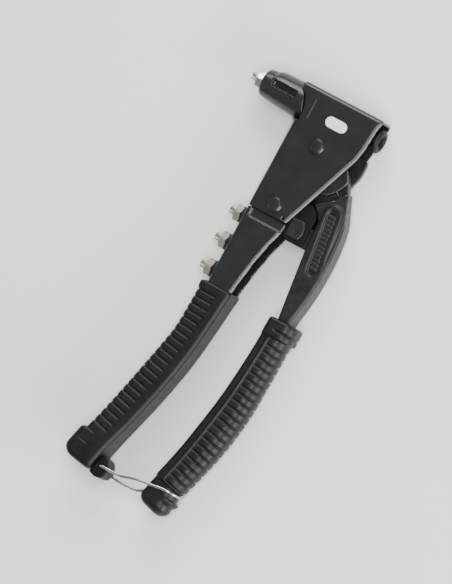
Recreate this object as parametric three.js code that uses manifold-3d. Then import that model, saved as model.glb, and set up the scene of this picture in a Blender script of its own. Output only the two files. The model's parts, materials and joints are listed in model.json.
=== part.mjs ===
// Heavy-duty long-handled hand riveter, millimetres, +Z up.
// It lies flat on its side: the mid-plane of the tool is parallel to XY,
// +X runs rearward along the barrel, +Y runs toward the top of the head.
// The origin is on the main pivot axis, in the plane the tool rests on.
import * as THREE from 'three';
import { mergeVertices } from 'three/addons/utils/BufferGeometryUtils.js';
import Module from 'manifold-3d';

const wasm = await Module();
wasm.setup();

// ---------------------------------------------------------------- driving dimensions
const REST = 10.9;            // mid-plane height above the resting plane
const GAP = 0.3;              // clearance between neighbouring pieces
const HEAD_HALF = 9.2;        // half width of the folded head
const SHEET = 2.0;            // head and handle sheet thickness
const HEAD_IN = HEAD_HALF - SHEET;
const FOLD_R = 2.6;           // outside radius of the folds
const EDGE_WIDTH = 1.5;       // bevel along the head's rear edges
const HEAD_TOP = 31.8;
const FRONT_X = -21.4;        // front face of head and handle
const AXIS_Y = 20;            // barrel axis height above the pivot
const BARREL_FRONT_X = -51.5;
const BARREL_END_X = -18.6;   // rear end of the barrel, inside the head
const BARREL_R = 10.9;        // at its root
const BORE_R = 5.0;
const PLUG_R = 7.4;
const RIVET_R = 3.5;
const RIVET_HEAD_R = 5.0;
const RIVET_TOP_R = 4.0;      // flat top of a rivet head
const HANDLE_RIVET = [-6, -42];
const STOP_PIN = [13.2, -50.4];
const STOP_PIN_R = 1.4;
const FORK_IN = 4.9;          // inner half width of the lever fork
const LEVER_HALF = 6.8;       // outer half width of the lever at the pivot
const BUSH_R = 5.0;
const CASE_R = 4.5;           // jaw case radius
const NOSE_PITCH = 18.2;
const NOSE_TOP_Y = -56.4;
const BOSS_X = -23.4;         // front face of the bosses on the handle
const LATCH = [-25.2, -227.3];
const WIRE_R = 0.9;
const CHANNEL_TOP_Y = -49.4;
const GRIP_TOP_Y = -100.6;
const GROOVE_HALF = 0.45;     // half width of the grips' grooves
const GROOVE_COUNT = 22;      // on each grip
const FIXED_GROOVES = { first: -106.8, pitch: 4.8, lean: 0.1 };
const LEVER_GROOVES = { first: -115.8, pitch: 4.7, lean: -0.16 };
const BEYOND = 12;            // reach of a cut that goes right through the tool's width

// ---------------------------------------------------------------- materials
const paint = new THREE.MeshStandardMaterial({ color: 0x2b2c2e, metalness: 0.3, roughness: 0.4 });
const cast = new THREE.MeshStandardMaterial({ color: 0x33312f, metalness: 0.4, roughness: 0.5 });
const rubber = new THREE.MeshStandardMaterial({ color: 0x1d2022, metalness: 0.0, roughness: 0.85 });
const nickel = new THREE.MeshStandardMaterial({ color: 0xcfc8ae, metalness: 1.0, roughness: 0.25 });
const steel = new THREE.MeshStandardMaterial({ color: 0xb9bbbd, metalness: 1.0, roughness: 0.3 });
const black = new THREE.MeshStandardMaterial({ color: 0x161616, metalness: 0.5, roughness: 0.5 });
const brass = new THREE.MeshStandardMaterial({ color: 0xb08d4a, metalness: 1.0, roughness: 0.35 });
const white = new THREE.MeshStandardMaterial({ color: 0xf0f0ee, metalness: 0.0, roughness: 0.5 });

const group = new THREE.Group();

// ---------------------------------------------------------------- solid helpers
function signedVolume(geometry) {
  const p = geometry.getAttribute('position');
  const index = geometry.getIndex();
  const count = index ? index.count : p.count;
  const at = (i) => new THREE.Vector3().fromBufferAttribute(p, index ? index.getX(i) : i);
  let sum = 0;
  for (let i = 0; i < count; i += 3) {
    sum += at(i).dot(at(i + 1).cross(at(i + 2))) / 6;
  }
  return sum;
}

function solid(source) {
  let geometry = source.clone();
  geometry.deleteAttribute('normal');
  geometry.deleteAttribute('uv');
  geometry = mergeVertices(geometry, 1e-4);
  const tri = Uint32Array.from(geometry.getIndex().array);
  if (signedVolume(geometry) < 0) {
    for (let i = 0; i < tri.length; i += 3) {
      const keep = tri[i];
      tri[i] = tri[i + 1];
      tri[i + 1] = keep;
    }
  }
  const vertProperties = Float32Array.from(geometry.getAttribute('position').array);
  return new wasm.Manifold(new wasm.Mesh({ numProp: 3, vertProperties, triVerts: tri }));
}

function join(...parts) {
  return parts.reduce((a, b) => a.add(b));
}

function cut(base, ...tools) {
  return tools.reduce((a, b) => a.subtract(b), base);
}

function add(name, body, material) {
  const out = body.getMesh();
  const geometry = new THREE.BufferGeometry();
  const positions = new Float32Array(out.vertProperties);
  geometry.setAttribute('position', new THREE.BufferAttribute(positions, 3));
  geometry.setIndex(new THREE.BufferAttribute(new Uint32Array(out.triVerts), 1));
  geometry.translate(0, 0, REST);
  geometry.computeVertexNormals();
  const mesh = new THREE.Mesh(geometry, material);
  mesh.name = name;
  group.add(mesh);
}

// ---------------------------------------------------------------- outline helpers
// points are [x, y] or [x, y, corner radius]
function outline(points) {
  const out = [];
  const n = points.length;
  points.forEach((point, i) => {
    const here = new THREE.Vector2(point[0], point[1]);
    const radius = point[2] || 0;
    if (!radius) {
      out.push(here);
      return;
    }
    const before = new THREE.Vector2(points[(i + n - 1) % n][0], points[(i + n - 1) % n][1]);
    const after = new THREE.Vector2(points[(i + 1) % n][0], points[(i + 1) % n][1]);
    const a = before.clone().sub(here).normalize();
    const b = after.clone().sub(here).normalize();
    const half = Math.acos(THREE.MathUtils.clamp(a.dot(b), -1, 1)) / 2;
    const reach = radius / Math.tan(half);
    const middle = a.clone().add(b).normalize().multiplyScalar(radius / Math.sin(half)).add(here);
    const start = a.clone().multiplyScalar(reach).add(here).sub(middle);
    const end = b.clone().multiplyScalar(reach).add(here).sub(middle);
    const turn = Math.atan2(start.x * end.y - start.y * end.x, start.dot(end));
    const steps = Math.max(2, Math.ceil(Math.abs(turn) / (Math.PI / 12)));
    for (let k = 0; k <= steps; k++) {
      const v = start.clone().rotateAround(new THREE.Vector2(), turn * k / steps);
      out.push(v.add(middle));
    }
  });
  return out;
}

function circle(x, y, radius, sides = 32) {
  const out = [];
  for (let k = 0; k < sides; k++) {
    const angle = 2 * Math.PI * (k + 0.5) / sides;
    out.push(new THREE.Vector2(x + radius * Math.cos(angle), y + radius * Math.sin(angle)));
  }
  return out;
}

function extruded(points, from, to) {
  const geometry = new THREE.ExtrudeGeometry(new THREE.Shape(points), {
    depth: to - from,
    bevelEnabled: false,
  });
  geometry.translate(0, 0, from);
  return geometry;
}

// outline in (x, y), thickness along z
function prismZ(points, from, to) {
  return solid(extruded(points, from, to));
}

// outline in (y, z), length along x
function prismX(points, from, to) {
  const turn = new THREE.Matrix4().makeBasis(
    new THREE.Vector3(0, 1, 0), new THREE.Vector3(0, 0, 1), new THREE.Vector3(1, 0, 0));
  return solid(extruded(points, from, to).applyMatrix4(turn));
}

// outline in (z, x), length along y
function prismY(points, from, to) {
  const turn = new THREE.Matrix4().makeBasis(
    new THREE.Vector3(0, 0, 1), new THREE.Vector3(1, 0, 0), new THREE.Vector3(0, 1, 0));
  return solid(extruded(points, from, to).applyMatrix4(turn));
}

function box(x0, x1, y0, y1, z0, z1) {
  return prismZ(outline([[x0, y0], [x1, y0], [x1, y1], [x0, y1]]), z0, z1);
}

function rodZ(x, y, radius, z0, z1, sides = 28) {
  return prismZ(circle(x, y, radius, sides), z0, z1);
}

function rodX(y, z, radius, x0, x1, sides = 28) {
  return prismX(circle(y, z, radius, sides), x0, x1);
}

// profile of [x, radius] pairs turned about the line y, z = 0; starts and ends on the axis
function turnedX(profile, y, sides = 40) {
  const points = profile.map(([x, r]) => new THREE.Vector2(r, x));
  const geometry = new THREE.LatheGeometry(points, sides);
  const turn = new THREE.Matrix4().makeBasis(
    new THREE.Vector3(0, 1, 0), new THREE.Vector3(1, 0, 0), new THREE.Vector3(0, 0, -1));
  geometry.applyMatrix4(turn);
  geometry.translate(0, y, 0);
  return solid(geometry);
}

// profile of [z, radius] pairs turned about the line x, y
function turnedZ(profile, x, y, sides = 32) {
  const points = profile.map(([z, r]) => new THREE.Vector2(r, z));
  const geometry = new THREE.LatheGeometry(points, sides);
  geometry.rotateX(Math.PI / 2);
  geometry.translate(x, y, 0);
  return solid(geometry);
}

// closed stack of rounded-rectangle sections; each is
// { y, x0, x1, half, front, rear, slope } with corner radii front (x0 side) and rear (x1 side)
function stack(sections, arc = 3) {
  const rings = sections.map((s) => {
    const ring = [];
    const corners = [
      [s.x1 - s.rear, s.half - s.rear, s.rear, 0],
      [s.x0 + s.front, s.half - s.front, s.front, 1],
      [s.x0 + s.front, s.front - s.half, s.front, 2],
      [s.x1 - s.rear, s.rear - s.half, s.rear, 3],
    ];
    for (const [cx, cz, r, quarter] of corners) {
      for (let k = 0; k <= arc; k++) {
        const angle = Math.PI / 2 * (quarter + k / arc);
        const x = cx + r * Math.cos(angle);
        ring.push([x, s.y + (s.slope || 0) * (x - (s.x0 + s.x1) / 2), cz + r * Math.sin(angle)]);
      }
    }
    return ring;
  });
  const n = rings[0].length;
  const positions = rings.flat(2);
  const index = [];
  for (let i = 0; i + 1 < rings.length; i++) {
    for (let k = 0; k < n; k++) {
      const a = i * n + k;
      const b = i * n + (k + 1) % n;
      index.push(a, b, b + n, a, b + n, a + n);
    }
  }
  const last = (rings.length - 1) * n;
  for (let k = 1; k + 1 < n; k++) {
    index.push(0, k + 1, k);
    index.push(last, last + k, last + k + 1);
  }
  const geometry = new THREE.BufferGeometry();
  geometry.setAttribute('position', new THREE.Float32BufferAttribute(positions, 3));
  geometry.setIndex(index);
  return solid(geometry);
}

// triangular strip that takes the sharp edge off between points a and b at height z
function edgeWedge(a, b, z, width) {
  const run = new THREE.Vector3(b[0] - a[0], b[1] - a[1], 0);
  const length = run.length();
  run.normalize();
  const outward = new THREE.Vector3(-run.y, run.x, 0);
  const up = new THREE.Vector3(0, 0, 1);
  const strip = extruded([
    new THREE.Vector2(-width, GAP), new THREE.Vector2(GAP, GAP), new THREE.Vector2(GAP, -width),
    new THREE.Vector2(0, -width), new THREE.Vector2(-width, 0),
  ], -0.2, length + 0.2);
  strip.applyMatrix4(new THREE.Matrix4().makeBasis(outward, up, run).setPosition(a[0], a[1], z));
  return solid(strip);
}

// round wire along a curve
function wire(path, radius, steps, sides = 8) {
  const section = new THREE.Shape(circle(0, 0, radius, sides));
  const geometry = new THREE.ExtrudeGeometry(section, { steps, extrudePath: path, bevelEnabled: false });
  return solid(geometry);
}

// value at y from rows of [y, value], straight between rows
function along(rows, y) {
  if (y >= rows[0][0]) return rows[0][1];
  for (let i = 0; i + 1 < rows.length; i++) {
    const [ya, va] = rows[i];
    const [yb, vb] = rows[i + 1];
    if (y >= yb) return va + (vb - va) * (ya - y) / (ya - yb);
  }
  return rows[rows.length - 1][1];
}

// ---------------------------------------------------------------- shared outlines
// rear edge of the head, from the top corner down to the lower corner
const HEAD_REAR = [[30.3, HEAD_TOP, 2.6], [28.7, 26], [27.4, 10, 12], [26, 3, 9], [5.9, -49]];
// front edge of the cheeks where the barrel leaves the head, from the top down
const CHEEK_FRONT = [[-26.3, 29.6], [-25.4, 27], [-22.4, 24], [-20.4, 20], [-18.9, 15], [-18.6, 10.5]];
// fixed handle channel: front edge, rear edge and half width
const CHANNEL_FRONT = [[-49, -21.4], [-100, -21.4], [-135, -22.4], [-150, -25.2], [-170, -29.8],
  [-190, -34.8], [-205, -38.6]];
const CHANNEL_REAR = [[-49, 6.2], [-57, 5.3], [-65, 2.9], [-75, 0.4], [-85, -1.5], [-100, -3.8],
  [-120, -7.4], [-150, -11.6], [-170, -16.2], [-190, -21.4], [-205, -26]];
const CHANNEL_HALF = [[-49, 8.6], [-57, 8.6], [-98, 7.6], [-104, 7.2], [-205, 7.0]];
// grips: front edge, rear edge
const FIXED_FRONT = [[-100, -24.1], [-120, -24.6], [-135, -25.4], [-150, -28.3], [-170, -32.9],
  [-190, -37.8], [-212, -43.6]];
const FIXED_REAR = [[-100, -3.2], [-120, -5.1], [-150, -9.1], [-170, -13.5], [-190, -18.8],
  [-210, -24.8], [-220, -27.5], [-232, -30.2]];
const LEVER_GRIP_FRONT = [[-100, 25], [-110, 24.8], [-140, 23], [-160, 20.8], [-180, 17.5],
  [-200, 13.5], [-220, 8.3], [-232, 5.2]];
const LEVER_GRIP_REAR = [[-100, 42], [-120, 41.9], [-140, 41.6], [-160, 40.8], [-170, 39.6],
  [-180, 37.8], [-190, 35.6], [-200, 32.8], [-210, 29.8], [-218, 27.2]];

// ---------------------------------------------------------------- head and barrel
function headShell() {
  const cheeks = outline([
    [-26.3, HEAD_TOP, 1.5], ...HEAD_REAR, [FRONT_X, -49], [FRONT_X, 5, 1.2], [-22.6, 8.2, 2],
    [-26.2, 8.9], [-18.6, 8.9], ...CHEEK_FRONT.slice().reverse(),
  ]);
  const outer = prismZ(cheeks, -HEAD_HALF, HEAD_HALF);
  const fold = prismX(outline([
    [-60, -HEAD_HALF], [HEAD_TOP, -HEAD_HALF, FOLD_R], [HEAD_TOP, HEAD_HALF, FOLD_R], [-60, HEAD_HALF],
  ]), -30, 40);
  let shell = outer.intersect(fold);
  const frontCorner = outline([
    [HEAD_HALF - FOLD_R, FRONT_X - 6], [HEAD_HALF + 1, FRONT_X - 6], [HEAD_HALF + 1, FRONT_X + FOLD_R],
    [HEAD_HALF, FRONT_X + FOLD_R], [HEAD_HALF, FRONT_X, FOLD_R], [HEAD_HALF - FOLD_R, FRONT_X],
  ]);
  const frontFold = prismY(frontCorner, -55, 8.6);
  shell = cut(shell, frontFold, frontFold.mirror([0, 0, 1]));
  for (let i = 0; i + 1 < HEAD_REAR.length; i++) {
    const wedge = edgeWedge(HEAD_REAR[i], HEAD_REAR[i + 1], HEAD_HALF, EDGE_WIDTH);
    shell = cut(shell, wedge, wedge.mirror([0, 0, 1]));
  }
  const hollow = box(FRONT_X + SHEET, 45, -60, HEAD_TOP - SHEET, -HEAD_IN, HEAD_IN);
  const throat = box(-30, FRONT_X + SHEET + 1, 9.0, HEAD_TOP - SHEET, -HEAD_IN, HEAD_IN);
  const plugRelief = rodX(AXIS_Y, 0, PLUG_R + GAP, 29.0, 40, 28);
  const labelPocket = prismZ(labelOutline(GAP), HEAD_HALF - 0.8, HEAD_HALF + 1);
  return cut(shell, hollow, throat, plugRelief, labelPocket,
    rivetHole(0, 0), rivetHole(...HANDLE_RIVET));
}

function rivetHole(x, y) {
  return rodZ(x, y, RIVET_R + GAP, -BEYOND, BEYOND);
}

function labelOutline(grow) {
  const w = 7.2 + grow;
  const h = 3.4 + grow;
  const r = 3.3 + grow;
  const cx = 4.2;
  const cy = 16.6;
  return outline([[cx - w, cy - h, r], [cx + w, cy - h, r], [cx + w, cy + h, r], [cx - w, cy + h, r]]);
}

function barrel() {
  const profile = [[BARREL_FRONT_X, 0], [BARREL_FRONT_X, 7.6], [BARREL_FRONT_X + 0.4, 8.2],
    [BARREL_FRONT_X + 1.4, 8.7], [-40, 9.8], [-26, BARREL_R], [BARREL_END_X, BARREL_R],
    [BARREL_END_X, 0]];
  const body = turnedX(profile, AXIS_Y, 36);
  const padRound = turnedX([[-45, 0], [-45, 9.2], [-43.6, 10.1], [-40, 10.5], [-26.8, BARREL_R],
    [-26.8, 0]], AXIS_Y, 36);
  const pad = padRound.intersect(box(-45.5, -26.5, 23.6, 40, -20, 20));
  const cheekEdge = CHEEK_FRONT.map(([x, y]) => [x - GAP - 0.05, y]);
  const outside = prismZ(outline([[-70, 40], [-70, 5], [-19, 8.8], ...cheekEdge.slice().reverse(),
    [-26.65, 40]]), -20, 20);
  const inside = box(-30, BARREL_END_X, 9.3, HEAD_TOP - SHEET - GAP, -HEAD_IN + GAP, HEAD_IN - GAP);
  let out = body.intersect(outside).add(body.intersect(inside)).add(pad.intersect(outside));
  const slot = box(-44, -26.8, 19.6, 23.4, 7.6, 14);
  out = cut(out, slot, slot.mirror([0, 0, 1]));
  return cut(out, rodX(AXIS_Y, 0, BORE_R, -60, -10, 24));
}

function rearPlug() {
  const cap = turnedX([[29.3, 0], [29.3, PLUG_R], [30.2, PLUG_R], [31.1, PLUG_R - 0.5], [31.6, PLUG_R - 1.4],
    [31.6, 4.5], [30.6, 4.1], [30.6, 0]], AXIS_Y, 28);
  const spigot = rodX(AXIS_Y, 0, 4.5, 22.6, 29.6, 20);
  const tongue = box(23, 29.4, AXIS_Y, HEAD_TOP - SHEET - GAP, -4.4, 4.4);
  return cut(join(cap, spigot, tongue), rodX(AXIS_Y, 0, 3.1, 20, 40, 16));
}

function throughRivet(x, y) {
  const h = HEAD_HALF + GAP;
  return turnedZ([[-REST, 0], [-REST, RIVET_TOP_R], [-h - 0.2, RIVET_HEAD_R], [-h, RIVET_HEAD_R],
    [-h, RIVET_R], [h, RIVET_R], [h, RIVET_HEAD_R], [h + 0.2, RIVET_HEAD_R], [REST, RIVET_TOP_R],
    [REST, 0]], x, y, 24);
}

// ---------------------------------------------------------------- nosepieces
// tipX is the front face; the nosepiece points toward -x
function nosepiece(tipX, hexX, seatX, stubX, y, tipR, hexR, stubR) {
  const tip = turnedX([[tipX, 0], [tipX, tipR - 0.5], [tipX + 0.5, tipR], [hexX + 1, tipR + 0.3],
    [hexX + 1, 0]], y, 18);
  const hex = prismX(circle(y, 0, hexR, 6), hexX, seatX);
  const chamfer = turnedX([[hexX, 0], [hexX, hexR * 0.86], [hexX + 0.8, hexR + 0.1], [seatX, hexR + 0.1],
    [seatX, 0]], y, 18);
  const stub = rodX(y, 0, stubR, seatX - 0.5, stubX, 16);
  const bore = rodX(y, 0, 1.8, tipX - 1, stubX + 1, 12);
  return cut(join(tip, hex.intersect(chamfer), stub), bore);
}

function noseBoss(y) {
  const ring = turnedX([[BOSS_X, 0], [BOSS_X, 5.4], [BOSS_X + 0.5, 6.0], [FRONT_X - GAP, 6.0], [FRONT_X - GAP, 3.8],
    [FRONT_X + SHEET + 1.6, 3.8], [FRONT_X + SHEET + 1.6, 0]], y, 20);
  return cut(ring, rodX(y, 0, 3.0, -30, -10, 14));
}

// ---------------------------------------------------------------- jaw train inside the barrel
function jawCase() {
  const outer = turnedX([[-31, 0], [-31, 3.6], [-30.2, CASE_R], [4.6, CASE_R], [4.6, 6.8], [8, 6.8],
    [8, 2.7], [24, 2.7], [24, 0]], AXIS_Y, 24);
  const inner = turnedX([[-32, 0], [-32, 2.2], [-21, 3.2], [3.9, 3.2], [3.9, 1.8], [25, 1.8], [25, 0]],
    AXIS_Y, 18);
  return cut(outer, inner);
}

function jaw(number) {
  const cone = turnedX([[-30, 0], [-30, 2.02], [-21.4, 2.8], [-21.4, 0]], AXIS_Y, 36);
  const bored = cut(cone, rodX(AXIS_Y, 0, 0.9, -35, -15, 16));
  const middle = 2 * Math.PI * number / 3 + Math.PI / 2;
  const open = Math.PI / 3 - 0.001;
  const reach = 9;
  const apex = 0.18;
  const ax = AXIS_Y + apex * Math.cos(middle);
  const az = apex * Math.sin(middle);
  const wedge = prismX([
    new THREE.Vector2(ax, az),
    new THREE.Vector2(ax + reach * Math.cos(middle - open), az + reach * Math.sin(middle - open)),
    new THREE.Vector2(ax + 2 * reach * Math.cos(middle), az + 2 * reach * Math.sin(middle)),
    new THREE.Vector2(ax + reach * Math.cos(middle + open), az + reach * Math.sin(middle + open)),
  ], -31, -20);
  return bored.intersect(wedge);
}

function jawPusher() {
  const body = turnedX([[-21, 0], [-21, 1.5], [-19.6, 2.8], [-13, 2.8], [-13, 0]], AXIS_Y, 24);
  return cut(body, rodX(AXIS_Y, 0, 1.2, -25, -5, 16));
}

class Helix extends THREE.Curve {
  constructor(x0, x1, radius, turns) {
    super();
    this.x0 = x0;
    this.x1 = x1;
    this.radius = radius;
    this.turns = turns;
  }

  getPoint(t) {
    const angle = 2 * Math.PI * this.turns * t;
    const x = this.x0 + (this.x1 - this.x0) * t;
    return new THREE.Vector3(x, AXIS_Y + this.radius * Math.cos(angle), this.radius * Math.sin(angle));
  }
}

function coil(x0, x1, radius, wireRadius, turns) {
  return wire(new Helix(x0, x1, radius, turns), wireRadius, turns * 10, 5);
}

// ---------------------------------------------------------------- fixed handle
// inset shrinks the front and sides; rearShift moves the rear edge back
function channelBody(inset, rearShift, top, bottom) {
  const sections = [];
  for (const y of [top, -57, -75, -98, -104, -135, -150, -170, -190, bottom]) {
    sections.push({
      y,
      x0: along(CHANNEL_FRONT, y) + inset,
      x1: along(CHANNEL_REAR, y) + rearShift,
      half: along(CHANNEL_HALF, y) - inset,
      front: Math.max(2.4 - inset, 0.5),
      rear: 1.6,
    });
  }
  return stack(sections.reverse());
}

function handleChannel() {
  const outer = channelBody(0, 0, CHANNEL_TOP_Y, -204);
  const hollow = channelBody(SHEET, 20, CHANNEL_TOP_Y + 1, -205);
  const recess = box(-18, 12, -55.2, CHANNEL_TOP_Y + 1, 7.6, BEYOND);
  const neckOuter = prismZ(outline([[FRONT_X + SHEET + GAP, -56], [3.4, -56], [3.4, -44, 5], [-2, -33, 4],
    [FRONT_X + SHEET + GAP, -33]]), -HEAD_IN + GAP, HEAD_IN - GAP);
  const neckHollow = box(FRONT_X + SHEET + GAP + SHEET, 30, -80, -20, -FORK_IN, FORK_IN);
  const bridge = box(FRONT_X + 0.9, FRONT_X + SHEET + 1.6, -53.4, CHANNEL_TOP_Y, -HEAD_IN + GAP,
    HEAD_IN - GAP);
  const channel = cut(outer, hollow, recess, recess.mirror([0, 0, 1]));
  const walls = join(channel, cut(neckOuter, neckHollow), bridge);
  const holes = [0, 1, 2].map((i) => rodX(NOSE_TOP_Y - i * NOSE_PITCH, 0, 4.1, -30, -10, 24));
  return cut(walls, rivetHole(...HANDLE_RIVET), ...holes);
}

// short lug between the handle walls that the closed lever comes to rest on
function stopLug() {
  const plate = prismZ(outline([[-11, -38, 2], [-11, -46, 2], [0, -51], [8, -57.4], [19.9, -57.4],
    [19.9, -39, 1], [18.2, -35.2], [13.4, -31.8, 1], [0, -33, 3]]), -4.5, 4.5);
  return cut(plate, rivetHole(...HANDLE_RIVET), stopPinHole());
}

function stopPlate() {
  const plate = prismZ(outline([[7.9, -43.2, 0.6], [7.9, -54.2, 0.6], [16.2, -54.2, 1.2], [17.6, -50.5, 6],
    [17, -46.5, 3], [15.2, -43.2, 1.2]]), 4.5 + GAP, 7.2);
  return cut(plate, stopPinHole());
}

function stopPinHole() {
  return rodZ(...STOP_PIN, STOP_PIN_R + GAP, -BEYOND, BEYOND, 20);
}

function stopPin() {
  return turnedZ([[-5.6, 0], [-5.6, 2.4], [-4.8, 2.6], [-4.8, STOP_PIN_R], [7.4, STOP_PIN_R], [7.4, 0]],
    ...STOP_PIN, 20);
}

function fixedGrip() {
  const sections = [
    { y: GRIP_TOP_Y, x0: -23.6, x1: -3.3, half: 8.9, front: 2.6, rear: 2.2 },
    { y: -101.6, x0: -24.8, x1: -3.0, half: 9.7, front: 3, rear: 2.5 },
    { y: -104.6, x0: -24.9, x1: -3.4, half: 9.7, front: 3, rear: 2.5 },
    { y: -106.4, x0: -24.1, x1: -3.7, half: 9.4, front: 3, rear: 2.5 },
  ];
  for (const y of [-120, -135, -150, -170, -190]) {
    sections.push({ y, x0: along(FIXED_FRONT, y), x1: along(FIXED_REAR, y), half: 9.4, front: 3, rear: 2.5 });
  }
  sections.push({ y: -212, x0: -43.6, x1: -25.4, half: 9.9, front: 3, rear: 2.5, slope: -0.05 });
  sections.push({ y: -213.2, x0: -45.6, x1: -25.8, half: 10, front: 3, rear: 2.5, slope: -0.06 });
  sections.push({ y: -215.4, x0: -47.8, x1: -26.3, half: 10.2, front: 3.4, rear: 2.5, slope: -0.08 });
  sections.push({ y: -221, x0: -49, x1: -27.8, half: REST, front: 3.4, rear: 2.5, slope: -0.1 });
  sections.push({ y: -226.4, x0: -50.2, x1: -29.2, half: REST, front: 3.4, rear: 2.5, slope: -0.13 });
  sections.push({ y: -230.2, x0: -49.2, x1: -30.2, half: 10.6, front: 3.4, rear: 2.5, slope: -0.17 });
  sections.push({ y: -231.8, x0: -47.0, x1: -30.8, half: 9.4, front: 3, rear: 2.2, slope: -0.19 });
  const body = stack(sections.reverse());
  const pocket = channelBody(-GAP, GAP, -90, -204.4);
  const grooves = [];
  for (let i = 0; i < GROOVE_COUNT; i++) {
    const y = FIXED_GROOVES.first - i * FIXED_GROOVES.pitch;
    const x0 = along(FIXED_FRONT, y);
    const x1 = along([[-105, -10.8], [-140, -14], [-170, -19.6], [-212, -31.5]], y);
    const drop = FIXED_GROOVES.lean * (x1 - x0);
    const groove = prismZ(outline([[x0 + 1.4, y - GROOVE_HALF], [x1, y - GROOVE_HALF - drop],
      [x1, y + GROOVE_HALF - drop], [x0 + 1.4, y + GROOVE_HALF]]), 8.95, 9.8);
    grooves.push(groove, groove.mirror([0, 0, 1]));
  }
  const socket = box(-38.4, -20, -231.4, -223.4, -4.3, 4.3);
  return cut(body, pocket, socket, ...grooves);
}

function latchLug() {
  const lug = prismZ(outline([[-27.4, -221.4, 1], [-22, -222.4, 3.5], [-19.2, -228.4, 4],
    [-20.8, -233.8, 3], [-25.6, -234.8, 1.5], [-29.9, -233.4], [-28.6, -227], [-27.2, -221.8]]), -6.5, 6.5);
  const tongue = box(-38, -26.5, -231.1, -223.7, -4, 4);
  return cut(join(lug, tongue), rodZ(...LATCH, WIRE_R + GAP + 0.1, -8, 8, 20));
}

function wireLatch() {
  const [lx, ly] = LATCH;
  const near = [
    [lx, ly, 2.4], [lx, ly, 6.2], [lx + 0.35, ly, 7.5], [lx + 1.6, ly + 0.05, 8.1], [-16, -227.2, 8.4],
    [-9, -227, 8.7], [-1.6, -224.3, 9.15], [9, -222.7, 9.3], [17.6, -221.4, 9.35],
  ];
  const around = [];
  for (let k = 1; k < 8; k++) {
    const angle = Math.PI / 2 - Math.PI * k / 8;
    around.push([17.8 + 9.6 * Math.cos(angle), -221.3 - 0.9 * k / 8, 9.35 * Math.sin(angle)]);
  }
  const far = [
    [17.4, -222.4, -9.35], [9, -223.4, -9.3], [3.4, -226.6, -9.2], [-1.8, -230.2, -9.0], [-8, -230.9, -8.7],
    [-19, -231.0, -8.4], [-22.8, -229.6, -8.2], [lx + 0.96, ly - 0.9, -7.9], [lx, ly, -6.4],
    [lx, ly, -2.4],
  ];
  const points = [...near, ...around, ...far].map((p) => new THREE.Vector3(...p));
  return wire(new THREE.CatmullRomCurve3(points, false, 'centripetal'), WIRE_R, 64, 8);
}

// ---------------------------------------------------------------- lever
function arcPoints(radius, fromDeg, toDeg, steps) {
  const out = [];
  for (let k = 0; k <= steps; k++) {
    const angle = THREE.MathUtils.degToRad(fromDeg + (toDeg - fromDeg) * k / steps);
    out.push([radius * Math.cos(angle), radius * Math.sin(angle)]);
  }
  return out;
}

// half thickness of the lever arm at height y
const ARM_HALF = [[-14, 3.6], [-22, 4.6], [-34, 5.8], [-60, 6.6], [-90, 7.2], [-99, 7.2], [-104, 6.4],
  [-204, 6.0]];
const ARM_FRONT = [[-33, 19.2], [-37, 21.3], [-44, 22], [-57.5, 23.1], [-70, 24.8], [-85, 26.8], [-99, 28.7],
  [-104, 29.4], [-140, 27.2], [-170, 22.6], [-204, 15.6]];
const ARM_REAR = [[-14, 30.2], [-22, 33.2], [-30, 36.6], [-38, 38.8], [-48, 40.2], [-65, 40.8], [-78, 40.2],
  [-90, 38.7], [-99, 37.3], [-104, 37.2], [-140, 37], [-170, 34], [-204, 26.6]];
// centres of the oval panel's round ends
const PANEL_TOP = new THREE.Vector2(28.4, -31.6);
const PANEL_END = new THREE.Vector2(33.4, -66);
const PANEL_R = 3.7;
const PANEL_RIBS = 9;
const PANEL_FLOOR = along(ARM_HALF, -48) - 0.8;

function leverArm(grow, top) {
  const sections = [];
  for (const y of [top, -37, -44, -48, -57.5, -65, -70, -78, -85, -90, -99, -104, -140, -170, -204]) {
    if (y > top) continue;
    const r = 1.4 + Math.max(grow, 0);
    sections.push({
      y: y === -204 ? y - grow : y,
      x0: along(ARM_FRONT, y) - grow,
      x1: along(ARM_REAR, y) + grow,
      half: along(ARM_HALF, y) + grow,
      front: r,
      rear: r,
    });
  }
  return stack(sections.reverse(), 3);
}

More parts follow.
